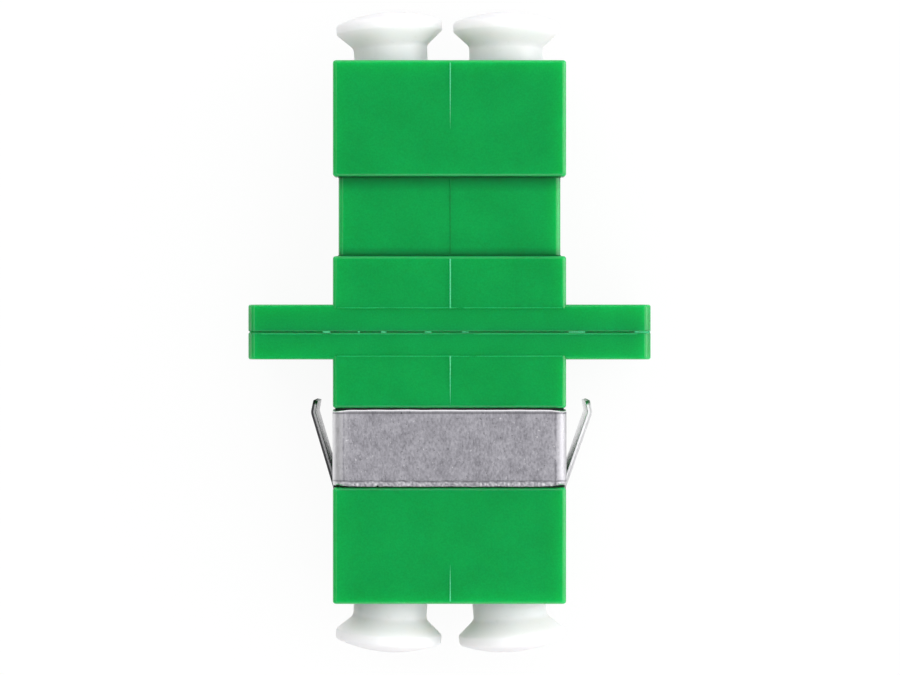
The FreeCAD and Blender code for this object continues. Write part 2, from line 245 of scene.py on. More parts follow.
print("a finish can also", [name for name in vars(Finish) if not name.startswith("_")])

# %% [markdown]
# The part lies on a white table inside a white tent, with the lens looking in through a gap at the top.
# A large softbox stands low behind the right-hand wall, which is why the right-hand edges glow, a weaker
# one behind the far wall, on its left, and a faint one behind the near wall. Together with the tent they
# give a face turned up about full light: then a colour shows about as it is written.

# %% Lamps
LAMP_DISTANCE = 0.5
LAMP_SIZE = 0.34


def softbox(name, direction, level):
    """A lamp that lights a face turned to it with the given share of full light."""
    lamp = bpy.data.lights.new(name, "AREA")
    lamp.size = LAMP_SIZE
    lamp.energy = level * (math.pi * LAMP_DISTANCE) ** 2
    holder = bpy.data.objects.new(name, lamp)
    away = Vector(direction).normalized()
    holder.location = away * LAMP_DISTANCE
    holder.rotation_euler = away.to_track_quat("Z", "Y").to_euler()
    scene.collection.objects.link(holder)


softbox("right_wall", (0.93, 0.12, 0.30), 0.55)
softbox("far_wall", (-0.50, 0.80, 0.33), 0.32)
softbox("near_wall", (0.10, -0.93, 0.30), 0.16)

# %% [markdown]
# The tent itself is the world: brightest overhead round the gap for the lens, weaker at the walls, and
# dimmer on the left. The gap is what the flat faces mirror, so it keeps their colour deep. A white
# background must not mean more light on the object, so only the camera sees the world as plain white.

# %% Tent
WALL_LEVEL = 0.6
TOP_LEVEL = 2.0
WALL_FADES_FROM = 0.5
WALL_FADES_TO = 0.85
LEFT_DARK = -0.7
LEFT_FULL = 0.2
LEFT_SHARE = 0.40
GAP_FROM = 0.95
GAP_TO = 0.985
GAP_SHARE = 0.4
WHITE = (1, 1, 1, 1)

world = bpy.data.worlds.new("tent")
world.use_nodes = True
tent = Nodes(world.node_tree)
way = tent.add("ShaderNodeTexCoord", output="Generated")
height = tent.add("ShaderNodeSeparateXYZ", None, {"Vector": way}, "Z")
rightward = tent.add("ShaderNodeSeparateXYZ", None, {"Vector": way}, "X")
wall = tent.spread(height, WALL_FADES_FROM, WALL_FADES_TO, WALL_LEVEL, TOP_LEVEL)
wall = wall * tent.spread(rightward, LEFT_DARK, LEFT_FULL, LEFT_SHARE, 1.0)
wall = wall * tent.spread(height, GAP_FROM, GAP_TO, 1.0, GAP_SHARE)
camera_ray = tent.add("ShaderNodeLightPath", output="Is Camera Ray")
strength = camera_ray + (1 - camera_ray) * wall
backdrop = tent.add("ShaderNodeBackground", None, {"Color": WHITE, "Strength": strength})
tent.add("ShaderNodeOutputWorld", None, {"Surface": backdrop})
scene.world = world
print("tent:", len(world.node_tree.nodes), "nodes")

# %% [markdown]
# The floor is mostly that same white, for the camera and for reflections, with a share of ordinary pale
# surface that keeps the soft shadow under the part. For the light that it throws back it is a greyer
# table, which returns about half of what falls on it. A pure white table would be simpler, but it
# washes out the shading of the white caps.

# %% Floor
FLOOR_WHITE_SHARE = 0.93
FLOOR_PALE = (0.92, 0.92, 0.92, 1)
FLOOR_BOUNCE = (0.55, 0.55, 0.55, 1)
FLOOR_HALF = 1.0
FLOOR_GAP = 0.01 * MM
SEEN_RAYS = ("Is Camera Ray", "Is Glossy Ray", "Is Transmission Ray")

floor_mesh = bpy.data.meshes.new("floor")
floor_level = cad_low.z - FLOOR_GAP
floor_signs = ((-1, -1), (1, -1), (1, 1), (-1, 1))
floor_corners = [(x * FLOOR_HALF, y * FLOOR_HALF, floor_level) for x, y in floor_signs]
floor_mesh.from_pydata(floor_corners, [], [(0, 1, 2, 3)])
floor = bpy.data.objects.new("floor", floor_mesh)
scene.collection.objects.link(floor)
table = Finish("table")
seen = 0
for ray in SEEN_RAYS:
    seen = seen + table.add("ShaderNodeLightPath", output=ray)
seen = table.add("ShaderNodeClamp", None, {"Value": seen})
table_tone = table.mix(seen, FLOOR_BOUNCE, FLOOR_PALE)
pale = table.add("ShaderNodeBsdfDiffuse", None, {"Color": table_tone})
white = table.add("ShaderNodeEmission", None, {"Color": WHITE, "Strength": 1.0})
table_top = table.add("ShaderNodeMixShader", None, {0: seen * FLOOR_WHITE_SHARE, 1: pale, 2: white})
table.add("ShaderNodeOutputMaterial", None, {"Surface": table_top})
floor_mesh.materials.append(table.material)
print("floor at", round(floor_level / MM, 2), "mm")

# %% [markdown]
# Painted shade darkens the floor of the open groove next to its two ends, where the steps shade it,
# and fades out away from them. It could be painted on the points of the mesh, but the groove's floor is
# one large face with no points in the middle. So the shade is worked out from the place along the body.

# %% Painted shade in the groove
GROOVE = (4.15 * MM, 8.5 * MM)
NEAR_SHADE_REACH = 0.5
FAR_SHADE_REACH = 0.85
GROOVE_SHADE_EDGE = 0.01


def groove_painted_shade(finish):
    """How dark the painted shade is there, from none (zero) to darkest (one)."""
    near_end, far_end = (end / MM for end in GROOVE)
    along = finish.add("ShaderNodeSeparateXYZ", None, {"Vector": finish.place}, "Y")
    near = finish.spread(along, near_end, near_end + NEAR_SHADE_REACH, 1.0, 0.0)
    far = finish.spread(along, far_end - FAR_SHADE_REACH, far_end)
    past_near = finish.spread(along, near_end - GROOVE_SHADE_EDGE, near_end)
    before_far = finish.spread(along, far_end, far_end + GROOVE_SHADE_EDGE, 1.0, 0.0)
    return (near + far) * (past_near * before_far)


print("the film reaches", NEAR_SHADE_REACH, "and", FAR_SHADE_REACH, "mm into the groove")

# %% [markdown]
# The body is moulded in a green plastic with a satin skin. Close to, the skin has a fine sparkle of
# lighter and darker specks from the mould's eroded surface, and slow clouds where the melt flowed.
# The plastic is a little see-through, so light that enters at an edge travels a millimetre or two and
# makes the edge glow. Thin flash is lighter and less deep, and its lighter tones also paint in a
# highlight. The floor of the open groove is darkened towards its two ends as painted shade. The relief
# is a few thousandths of a millimetre: enough to break up a reflection, too little to see as bumps.
# Handling has polished the rims, so they have a coat of gloss that the flat faces lack. Which faces are
# rims is kept in the mesh.

# %% Green plastic
GROOVE_SHADE_SHARE = 0.75
GROOVE_SHADE_GREEN = (0.0004, 0.12, 0.026, 1)
SPECK = 0.09
MELT_CLOUD = 2.6
SKIN_GRAIN = 0.05
SKIN_RELIEF = 0.004
WIPE = 1.2
TONE_LOW = 0.34
TONE_HIGH = 0.66
RIM_GLOSS = 0.7
RIM_WIPE = 0.3
GREEN_REACH = (0.25, 1.0, 0.65)
DEEP_GLOW = 2.8
THIN_GLOW = 0.1


def green_plastic(name, dark, light, glow):
    """Green plastic between two tones, in which light travels about the given depth in millimetres."""
    finish = Finish(name)
    specks = finish.grain(SPECK, 3.0)
    clouds = finish.grain(MELT_CLOUD)
    skin = finish.grain(SKIN_GRAIN)
    wipe = finish.grain(WIPE, 3.0)
    tone = finish.spread(specks * 0.6 + clouds * 0.4, TONE_LOW, TONE_HIGH)
    # Painted shade: the floor of the open groove is darkened towards its two ends.
    groove_shade = groove_painted_shade(finish) * GROOVE_SHADE_SHARE
    rim = finish.add("ShaderNodeAttribute", {"attribute_name": "rim"}, output="Fac")
    finish.shade(
        Base_Color=finish.mix(groove_shade, finish.mix(tone, dark, light), GROOVE_SHADE_GREEN),
        Roughness=finish.between(wipe * 0.6 + specks * 0.4, 0.30, 0.42),
        Normal=finish.bump(skin * 0.6 + specks * 0.4, SKIN_RELIEF),
        Specular_IOR_Level=0.08,
        Coat_Weight=rim * (RIM_GLOSS + wipe * RIM_WIPE),
        Coat_Roughness=0.3,
        Subsurface_Weight=1.0,
        Subsurface_Radius=GREEN_REACH,
        Subsurface_Scale=glow * MM,
    )
    return finish.material


moulded_green = green_plastic(
    "moulded_green", (0.0006, 0.281, 0.0545, 1), (0.0012, 0.350, 0.0705, 1), DEEP_GLOW
)
# Thin flash is paler than the body, and this lighter green also paints in a highlight on the crests.
flash_green = green_plastic("flash_green", (0.04, 0.50, 0.20, 1), (0.12, 0.62, 0.31, 1), THIN_GLOW)
# A darker green that paints the shade along the mould line in the groove.
scored_green = green_plastic(
    "scored_green", (0.0008, 0.205, 0.042, 1), (0.0012, 0.265, 0.054, 1), THIN_GLOW
)
# A lighter green that paints a highlight along the shoulders and the seam's lip.
rib_green = green_plastic("rib_green", (0.004, 0.40, 0.10, 1), (0.02, 0.50, 0.15, 1), THIN_GLOW)
print("green finishes:", [item.name for item in (moulded_green, flash_green, scored_green, rib_green)])

# %% [markdown]
# The clip is thin stainless sheet that has been tumbled to take off its sharpest burrs. Tumbling
# leaves a dull, mottled grey with small dark pits and bright flecks. Shearing leaves its own marks:
# the punch first burnishes the cut edge bright, then the rest tears away dark and rough. How far the
# sheet is lightened or darkened near its edges and folds, and on the tabs, is kept in the mesh as one
# number for each point, because it follows the edges and not the axes. That number holds real wear
# and also painted highlights, reflections and shade. The tongues were pressed flat and are the
# smoothest.

# %% Spring steel
BRIGHT_WEAR_AND_HIGHLIGHT = (0.88, 0.87, 0.89, 1)
DARK_WEAR_AND_SHADE = (0.07, 0.07, 0.075, 1)
MOTTLE = 0.11
MOTTLE_SQUEEZE = (1.0, 0.6, 1.0)
STEEL_CLOUD = 0.7
PIT = 0.15
PIT_LIMITS = (0.68, 0.76)
PIT_DARK = 0.45
PIT_DEEP = 0.6
FLECK = 0.12
FLECK_SQUEEZE = (1.0, 0.7, 1.3)
FLECK_LIMITS = (0.70, 0.80)
FLECK_BRIGHT = 0.4
STEEL_RELIEF = 0.01
ROUGHNESS_SPAN = 0.08


def spring_steel(name, dark, light, roughness):
    """Stainless sheet between two tones, with pits and flecks, and edges lightened or darkened by wear
    and by painted highlights, reflections and shade.
    """
    finish = Finish(name)
    mottle = finish.grain(MOTTLE, 3.0, finish.stretched(MOTTLE_SQUEEZE))
    clouds = finish.grain(STEEL_CLOUD)
    tone = finish.between(mottle * 0.7 + clouds * 0.3, 0.0, 1.0)
    pits = finish.spread(finish.grain(PIT, 1.0), *PIT_LIMITS)
    flecks = finish.grain(FLECK, 1.0, finish.stretched(FLECK_SQUEEZE))
    flecks = finish.spread(flecks, *FLECK_LIMITS)
    # This number holds real wear and also painted highlights, reflections and shade.
    edge_tone = finish.add("ShaderNodeAttribute", {"attribute_name": "edge_tone"}, output="Fac")
    bright = finish.spread(flecks * FLECK_BRIGHT + edge_tone, 0.0, 1.0)
    darkened = finish.spread(pits * PIT_DARK - edge_tone, 0.0, 1.0)
    sheet = finish.mix(bright, finish.mix(tone, dark, light), BRIGHT_WEAR_AND_HIGHLIGHT)
    finish.shade(
        Base_Color=finish.mix(darkened, sheet, DARK_WEAR_AND_SHADE),
        Metallic=1.0,
        Roughness=finish.between(mottle, roughness - ROUGHNESS_SPAN, roughness + ROUGHNESS_SPAN),
        Normal=finish.bump(mottle - pits * PIT_DEEP, STEEL_RELIEF),
    )
    return finish.material


sheet_steel = spring_steel("sheet_steel", (0.178, 0.173, 0.193, 1), (0.398, 0.389, 0.422, 1), 0.52)
tongue_steel = spring_steel("tongue_steel", (0.62, 0.61, 0.63, 1), (0.80, 0.79, 0.81, 1), 0.24)
torn_steel = spring_steel("torn_steel", (0.03, 0.03, 0.03, 1), (0.12, 0.12, 0.12, 1), 0.6)
burnished_steel = spring_steel("burnished_steel", (0.70, 0.70, 0.71, 1), (0.86, 0.86, 0.87, 1), 0.4)
print("steel finishes:", sheet_steel.name, tongue_steel.name, torn_steel.name, burnished_steel.name)

# %% [markdown]
# The dust caps are soft white plastic. It scatters light deep inside, so shadows on it are pale and
# slightly warm, and it has a waxy skin with faint ripples from a quick mould. The alignment sleeves
# are fine white ceramic, ground round and polished, with a creamier tone and very fine grinding lines.
# One flat white would do for both from afar, but close to it looks like chalk.

# %% White plastic and ceramic
CAP_TONES = ((0.93, 0.85, 0.89, 1), (0.95, 0.885, 0.915, 1))
SCUFF_TONE = (0.70, 0.68, 0.66, 1)
SCUFF_SHARE = 0.2
CAP_CLOUD = 1.6
RIPPLE = 0.5
RIPPLE_RELIEF = 0.01
SCUFF = 0.3
SCUFF_LIMITS = (0.62, 0.75)
CAP_REACH = (1.0, 0.92, 0.86)
CAP_GLOW = 2.2
CERAMIC_TONES = ((0.80, 0.775, 0.70, 1), (0.88, 0.865, 0.81, 1))
CERAMIC_CLOUD = 0.8
GRIND_LINE = 0.04
GRIND_SQUEEZE = (0.2, 1.0, 0.2)
GRIND_RELIEF = 0.001


def white_plastic(name):
    """Soft plastic that light travels far into, with a rippled skin and a few scuffs."""
    finish = Finish(name)
    ripple = finish.grain(RIPPLE)
    scuffs = finish.spread(finish.grain(SCUFF, 4.0), *SCUFF_LIMITS)
    base = finish.mix(finish.grain(CAP_CLOUD), *CAP_TONES)
    finish.shade(
        Base_Color=finish.mix(scuffs * SCUFF_SHARE, base, SCUFF_TONE),
        Roughness=finish.between(ripple, 0.38, 0.5),
        Normal=finish.bump(ripple, RIPPLE_RELIEF),
        Subsurface_Weight=1.0,
        Subsurface_Radius=CAP_REACH,
        Subsurface_Scale=CAP_GLOW * MM,
    )
    return finish.material


def ground_ceramic(name):
    """Polished ceramic with grinding lines round the sleeve."""
    finish = Finish(name)
    lines = finish.grain(GRIND_LINE, 2.0, finish.stretched(GRIND_SQUEEZE))
    finish.shade(
        Base_Color=finish.mix(finish.grain(CERAMIC_CLOUD), *CERAMIC_TONES),
        Roughness=finish.between(lines, 0.14, 0.24),
        Normal=finish.bump(lines, GRIND_RELIEF),
    )
    return finish.material


soft_white = white_plastic("soft_white")
cream_ceramic = ground_ceramic("cream_ceramic")
print("pale finishes:", soft_white.name, cream_ceramic.name)

# %% [markdown]
# The moulded solids already have the right shape, but their meshes are loose triangles, so a rounded
# edge shows as a few flat facets. A copy with its corners merged can be shaded smooth across small
# turns, with the large flat faces given more say, so that they stay flat up to the rounded edge.
# Subdividing or remeshing would cost far more and could soften the ports and the clip groove.

# %% Smooth copies of the moulded solids
MERGE_GAP = 0.0005 * MM
SMOOTH_TURN = math.radians(50)
SQUARE_TO_AXES = 0.98


def plain_mesh(item):
    """Gives a piece the mesh that its modifiers make, and removes them."""
    graph = bpy.context.evaluated_depsgraph_get()
    made = bpy.data.meshes.new_from_object(item.evaluated_get(graph), depsgraph=graph)
    item.modifiers.clear()
    item.data = made
    made.name = item.name
    return item


def new_piece(name, mesh, *finishes):
    """A new object at the origin, with its finishes in order."""
    item = bpy.data.objects.new(name, mesh)
    scene.collection.objects.link(item)
    for finish in finishes:
        mesh.materials.append(finish)
    return item


def smooth_copy(node, name, finish):
    """A merged copy of a solid that stands for it, smooth across its rounded edges."""
    work = bmesh.new()
    work.from_mesh(frame["nodes"][node].data)
    bmesh.ops.remove_doubles(work, verts=work.verts, dist=MERGE_GAP)
    rim = work.faces.layers.float.new("rim")
    for face in work.faces:
        face.smooth = True
        face.material_index = 0
        face[rim] = 1.0 if max(abs(part) for part in face.normal) < SQUARE_TO_AXES else 0.0
    for edge in work.edges:
        edge.smooth = len(edge.link_faces) == 2 and edge.calc_face_angle() < SMOOTH_TURN
    mesh = bpy.data.meshes.new(name)
    work.to_mesh(mesh)
    work.free()
    item = new_piece(name, mesh, finish)
    even = item.modifiers.new("even shading", "WEIGHTED_NORMAL")
    even.keep_sharp = True
    plain_mesh(item)
    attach(item, frame["nodes"][node]["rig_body"])
    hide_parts(node)
    return item


print("edges are smooth below", round(math.degrees(SMOOTH_TURN)), "degrees")

# %% [markdown]
# The body is two halves, moulded apart and welded back to back. Each is a shell with two ports, a
# groove for the clip and one half of the flange. They could be joined into one mesh, but the seam
# between them is real, so each half stays a piece of its own.

# %% Housing halves
housings = [
    smooth_copy("front_housing", "front_housing_moulding", moulded_green),
    smooth_copy("rear_housing", "rear_housing_moulding", moulded_green),
]
print("housing faces:", [len(item.data.polygons) for item in housings])

# %% [markdown]
# The sleeves are slit tubes that line up the fibres, hidden in the middle of the body. The caps are
# round plugs with a wide head for the fingers, pushed in by hand and so not quite straight. Both could
# be spun again from a profile, but the solids have that shape and that lean, so they are copied too.

# %% Ceramic sleeves and dust caps
sleeves = [
    smooth_copy(f"{side}_sleeve", f"{side}_sleeve_ceramic", cream_ceramic)
    for side in ("left", "right")
]
caps = [
    smooth_copy(f"{end}_{side}_cap", f"{end}_{side}_cap_moulding", soft_white)
    for end in ("front", "rear")
    for side in ("left", "right")
]
print("sleeve and cap faces:", [len(item.data.polygons) for item in sleeves + caps])

# %% [markdown]
# Several marks on the body are thin lines that follow a path: flash where parts of the mould met,
# molten plastic that was squeezed out of the weld, and dark lines of painted shade in corners.
# Geometry Nodes suit them all: noise first takes away the stretches of the path that stay bare, what is
# left becomes curves, and a small circle is swept along them. One tree with named inputs makes every
# mark.

# %% A bead along a path
BEAD_SIDES = 8
SWELL_RISE = 0.1
THIN_SHARE = 0.55


def bead_tree():
    """A bead that follows paths of short edges, with its own size, fading and bare stretches."""
    tree = bpy.data.node_groups.new("bead_along_path", "GeometryNodeTree")
    tree.interface.new_socket("Path", in_out="INPUT", socket_type="NodeSocketGeometry")
    for label in ("Radius", "Patch", "Bare below", "Start share", "End share", "Seed"):
        tree.interface.new_socket(label, in_out="INPUT", socket_type="NodeSocketFloat")
    tree.interface.new_socket("Finish", in_out="INPUT", socket_type="NodeSocketMaterial")
    tree.interface.new_socket("Bead", in_out="OUTPUT", socket_type="NodeSocketGeometry")
    nodes = Nodes(tree)
    given = nodes.add("NodeGroupInput").socket.node

    def size(label):
        return Wire(nodes, given.outputs[label])

    place = nodes.add("GeometryNodeInputPosition")
    sockets = {"Vector": place, "W": size("Seed"), "Scale": 1 / size("Patch")}
    swell = nodes.add("ShaderNodeTexNoise", {"noise_dimensions": "4D"}, sockets)
    sockets = {"A": swell, "B": size("Bare below")}
    bare = nodes.add("FunctionNodeCompare", {"operation": "LESS_THAN"}, sockets)
    sockets = {"Geometry": size("Path"), "Selection": bare}
    squeezed = nodes.add("GeometryNodeDeleteGeometry", None, sockets)
    curve = nodes.add("GeometryNodeMeshToCurve", None, {"Mesh": squeezed})
    patches = nodes.spread(swell - size("Bare below"), 0.0, SWELL_RISE, THIN_SHARE, 1.0)
    along = nodes.add("GeometryNodeSplineParameter", output="Factor")
    fading = nodes.spread(along, 0.0, 1.0, size("Start share"), size("End share"))
    sockets = {"Resolution": BEAD_SIDES, "Radius": size("Radius")}
    ring = nodes.add("GeometryNodeCurvePrimitiveCircle", None, sockets)
    sockets = {"Curve": curve, "Profile Curve": ring, "Scale": patches * fading, "Fill Caps": True}
    bead = nodes.add("GeometryNodeCurveToMesh", None, sockets)
    smooth = nodes.add("GeometryNodeSetShadeSmooth", None, {"Geometry": bead})
    whole = nodes.add("GeometryNodeRealizeInstances", None, {"Geometry": smooth})
    done = nodes.add("GeometryNodeSetMaterial", None, {"Geometry": whole, "Material": size("Finish")})
    nodes.add("NodeGroupOutput", None, {"Bead": done})
    return tree


BEADS = bead_tree()
print("bead inputs:", [socket.name for socket in BEADS.interface.items_tree])

# %% [markdown]
# A mark needs its path as a mesh of short edges, because the noise takes whole points away. The inputs
# of the tree are set by each socket's own identifier, and the result becomes a plain mesh at once, so
# that nothing later depends on the tree.

# %% Paths for beads
BEAD_STEP = 0.06 * MM
FULL = 1.0
EVERYWHERE = 0.0


def short_steps(corners):
    """Points along a line through corners, at most one bead step apart."""
    points = [Vector(corners[0])]
    for low, high in zip(corners, corners[1:]):
        run = Vector(high) - Vector(low)
        count = max(1, math.ceil(run.length / BEAD_STEP))
        points += [Vector(low) + run * (number + 1) / count for number in range(count)]
    return points


def bead_piece(name, paths, **sizes):
    """Beads along one or more lines through corners, as one plain mesh that rides on the coupler."""
    points = []
    edges = []
    for corners in paths:
        first = len(points)
        points += short_steps(corners)
        edges += [(number, number + 1) for number in range(first, len(points) - 1)]
    mesh = bpy.data.meshes.new(name)
    mesh.from_pydata(points, edges, [])
    item = new_piece(name, mesh)
    modifier = item.modifiers.new("bead", "NODES")
    modifier.node_group = BEADS
    wanted = {label.replace("_", " "): value for label, value in sizes.items()}
    for socket in BEADS.interface.items_tree:
        if socket.in_out == "INPUT" and socket.name in wanted:
            modifier[socket.identifier] = wanted[socket.name]
    plain_mesh(item)
    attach(item, "coupler")
    return item


def ring_path(wide, high, bevel, y):
    """A closed line round the body at one place along it, with its four corners cut off."""
    corners = []
    for x, z in ((1, 1), (-1, 1), (-1, -1), (1, -1)):
        ends = [(x * wide, y, z * (high - bevel)), (x * (wide - bevel), y, z * high)]
        corners += ends if x == z else reversed(ends)
    return corners + corners[:1]


print("bead step:", round(BEAD_STEP / MM, 2), "mm")

# %% [markdown]
# The two halves were welded at the middle of the flange. Here and there molten plastic came out of the
# seam and froze as short beads, paler than the body because they are thin; their pale finish also
# paints in a highlight. Paint would give their colour, but a bead also catches the light on its crest,
# so they are swept along the seam all round the flange, and noise leaves most of it bare.

# %% Weld beads round the flange
FLANGE_BEVEL = 0.37 * MM
FLANGE_TOP = 4.58 * MM
WELD_BEAD = 0.055 * MM
WELD_SUNK = 0.05 * MM
weld_ring = ring_path(cad_high.x - WELD_SUNK, FLANGE_TOP - WELD_SUNK, FLANGE_BEVEL, 0)
weld = bead_piece(
    "weld_beads", [weld_ring], Radius=WELD_BEAD, Patch=0.8 * MM, Bare_below=0.585,
    Start_share=FULL, End_share=FULL, Seed=4.0, Finish=flash_green,
)
print("weld bead faces:", len(weld.data.polygons))

# %% [markdown]
# Where the mould's inserts met, a fine raised line runs along the middle of each wide face. It is
# strongest at the body's ends and beside the flange, and fades away from them. Its pale finish paints in
# part of the highlight on its crest, and in the groove its darker finish is painted shade. A painted
# line would have no crest to catch the light, so each stretch is a straight path just under the face,
# and no more than the crest of its bead stands out.

# %% Mould lines along the wide faces
LINE_RADIUS = 0.055 * MM
LINE_SUNK = 0.03 * MM
LINE_X = 0.04 * MM
SHOULDER = 1.3 * MM
GROOVE_DEPTH = 0.3 * MM
EDGE_ROUND = 0.15 * MM
BODY_END = 14.85 * MM
BODY_HALF = 6.375 * MM
FRONT_END_RUN = 3.6 * MM
REAR_END_RUN = 2.0 * MM
FADED = 0.58
EVEN = 0.8
LINE_LOOKS = {
    "front_end": (FULL, FADED, flash_green),
    "front_groove": (EVEN, EVEN, scored_green),
    "front_flange": (FULL, FULL, flash_green),
    "rear_flange": (FULL, FADED, flash_green),
    "rear_end": (FULL, FADED, flash_green),
}


def mould_line(near, far, depth, face):
    """A straight run along the middle of a wide face, sunk so that only its crest stands out."""
    level = face * (plain_face - depth - LINE_SUNK)
    return [(LINE_X, near, level), (LINE_X, far, level)]


def mould_lines(face):
    """The runs on one wide face, each from its stronger end."""
    last = BODY_END - EDGE_ROUND
    return {
        "front_end": mould_line(last, last - FRONT_END_RUN, 0, face),
        "front_groove": mould_line(GROOVE[1], GROOVE[0], GROOVE_DEPTH, face),
        "front_flange": mould_line(GROOVE[0] - EDGE_ROUND, SHOULDER, 0, face),
        "rear_flange": mould_line(-SHOULDER, -(GROOVE[0] - EDGE_ROUND), 0, face),
        "rear_end": mould_line(-last, -(last - REAR_END_RUN), 0, face),
    }


for part, (start, end, finish) in LINE_LOOKS.items():
    bead_piece(
        f"mould_line_{part}", [mould_lines(1)[part], mould_lines(-1)[part]],
        Radius=LINE_RADIUS, Patch=1.5 * MM, Bare_below=EVERYWHERE,
        Start_share=start, End_share=end, Seed=9.0, Finish=finish,
    )
print("mould lines:", list(LINE_LOOKS))

# %% [markdown]
# Another part of the mould closed along the shoulders where the body rises out of the flange. Its flash
# is finer, a thread across each wide face, broken in places, in a lighter finish that is a painted
# highlight along the shoulder. A bevel in the mesh would run along the whole edge, so the thread is a
# bead as well.

# %% Flash along the shoulders beside the flange
FLASH_RADIUS = 0.035 * MM
FLASH_SUNK = 0.026 * MM
FLASH_INSET = 0.25 * MM
flash_half = BODY_HALF - FLASH_INSET
flash_y = SHOULDER + FLASH_SUNK
flash_level = plain_face - FLASH_SUNK
shoulder_runs = [
    [(side * flash_half, end * flash_y, face * flash_level) for side in (-1, 1)]
    for end in (-1, 1)
    for face in (-1, 1)
]
flash = bead_piece(
    "shoulder_flash", shoulder_runs, Radius=FLASH_RADIUS, Patch=1.2 * MM, Bare_below=0.3,
    Start_share=FULL, End_share=FULL, Seed=14.0, Finish=rib_green,
)
print("flash faces:", len(flash.data.polygons))

# %% [markdown]
# Beside the weld seam the half with the clip has a thin lip along the flange, drawn as a hairline in a
# paler finish that is a painted highlight. It is about as wide as a hair, too fine for the solid, so it
# follows the seam as one more bead.

# %% The lip of the seam
LIP_RADIUS = 0.03 * MM
LIP_SUNK = 0.012 * MM
SEAM_BEVEL = 0.08 * MM
lip_half = cad_high.x - 2 * FLANGE_BEVEL
lip_level = FLANGE_TOP - LIP_SUNK
lip_runs = [
    [(side * lip_half, -SEAM_BEVEL - LIP_RADIUS, face * lip_level) for side in (-1, 1)]
    for face in (-1, 1)
]
lip = bead_piece(
    "seam_lip", lip_runs, Radius=LIP_RADIUS, Patch=2.0 * MM, Bare_below=0.35,
    Start_share=FULL, End_share=FULL, Seed=17.0, Finish=rib_green,
)
print("lip faces:", len(lip.data.polygons))

# %% [markdown]
# At each end of the open groove a dark line is painted into the corner as shade, darker than the
# painted shade on the groove's floor. The line could come from the finish alone, but a little fillet
# also softens the corner, so a bead runs round the body at each end of the groove.

# %% Painted shade in the corners of the open groove
CORNER_SHADE_RADIUS = 0.08 * MM
CORNER_SHADE_SUNK = 0.04 * MM
CORNER_SHADE_BEVEL = 0.18 * MM
# A very dark green, painted shade in the corners of the groove.
grime_green = green_plastic(
    "grime_green", (0.0006, 0.045, 0.011, 1), (0.001, 0.09, 0.022, 1), THIN_GLOW
)
corner_shade_wide = BODY_HALF - GROOVE_DEPTH - CORNER_SHADE_SUNK
corner_shade_high = plain_face - GROOVE_DEPTH - CORNER_SHADE_SUNK
corner_shade = bead_piece(
    "groove_grime", [ring_path(corner_shade_wide, corner_shade_high, CORNER_SHADE_BEVEL, y) for y in GROOVE],
    Radius=CORNER_SHADE_RADIUS, Patch=1.0 * MM, Bare_below=EVERYWHERE,
    Start_share=FULL, End_share=FULL, Seed=25.0, Finish=grime_green,
)
print("grime faces:", len(corner_shade.data.polygons))

# %% [markdown]
# The clip is one strip of sheet, blanked with its openings and then folded round the body in four
# bends. It is built the way it is made: a flat blank of small cells is measured out along the fold
# line, the cells of the tab openings are left out, and each point is carried to its place on the folded
# line. Thickness comes last. First comes the fold line itself, as straight runs and quarter turns.

# %% The clip's fold line
SHEET = 0.25 * MM
BEND = 0.505 * MM
BACK_GAP = 2.2 * MM
QUARTER = math.pi / 2
clip_low, clip_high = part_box("panel_clip")
middle_x = clip_high.x - SHEET / 2
middle_z = clip_high.z - SHEET / 2
front_half = middle_x - BEND
side_run = 2 * (middle_z - BEND)
BAND = [
    (front_half, 0),
    (BEND * QUARTER, QUARTER),
    (side_run, 0),
    (BEND * QUARTER, QUARTER),
    (front_half - BACK_GAP / 2, 0),
]
band_half = sum(length for length, turn in BAND)


def band_place(along):
    """The sheet's middle at a length from the middle of the front, and the way it faces."""
    side = 1 if along >= 0 else -1
    left = abs(along)
    x = 0.0
    z = middle_z
    heading = 0.0
    for length, turn in BAND:
        step = min(left, length)
        if turn:
            radius = length / turn
            swing = step / radius
            x += radius * (math.sin(heading + swing) - math.sin(heading))
            z += radius * (math.cos(heading + swing) - math.cos(heading))
            heading += swing
        else:
            x += step * math.cos(heading)
            z -= step * math.sin(heading)
        left -= step
    return Vector((side * x, 0, z)), Vector((side * math.sin(heading), 0, math.cos(heading)))


print("flat length of the strip:", round(2 * band_half / MM, 2), "mm")

# %% [markdown]
# The flat blank has a window on each narrow side, where the tab was cut free, and a foot below it that
# the tab is bent from. A grid of cells suits a blank: its lines pass through every bend, window and
# edge, and lie closer together near the sheared edges, where the sheet will need more detail.

# %% The blank's cells
TAB_WIDTH = 5.0 * MM
TAB_SIDE_GAP = 0.25 * MM
FOOT_MARGIN = 0.55 * MM
FOOT_STRIP = 0.22 * MM
FOOT_DROP = 0.7 * MM
CELL_ALONG = 0.075 * MM
CELL_DOWN = 0.3 * MM
BEND_ROWS = [-0.08 * MM, -0.04 * MM, 0, 0.04 * MM, 0.08 * MM]
EDGE_ROWS = [row * MM for row in (0, 0.03, 0.06, 0.09, 0.12, 0.15, 0.18, 0.22, 0.27, 0.32)]
side_middle = front_half + BEND * QUARTER + side_run / 2
window_half = TAB_WIDTH / 2 + TAB_SIDE_GAP
foot_half = window_half + FOOT_MARGIN
strip_width = clip_high.y - clip_low.y
band_width = strip_width - FOOT_DROP
window_end = strip_width - FOOT_STRIP


def ladder(stops, step):
    """Numbers from the first stop to the last, through every stop, at most one step apart."""
    rungs = [stops[0]]
    for low, high in zip(stops, stops[1:]):
        count = max(1, math.ceil((high - low) / step))
        rungs += [low + (high - low) * (number + 1) / count for number in range(count)]
    return rungs


def on_foot(along, half):
    """Whether a place on the strip lies over the tab opening or its foot."""
    return abs(abs(along) - side_middle) < half


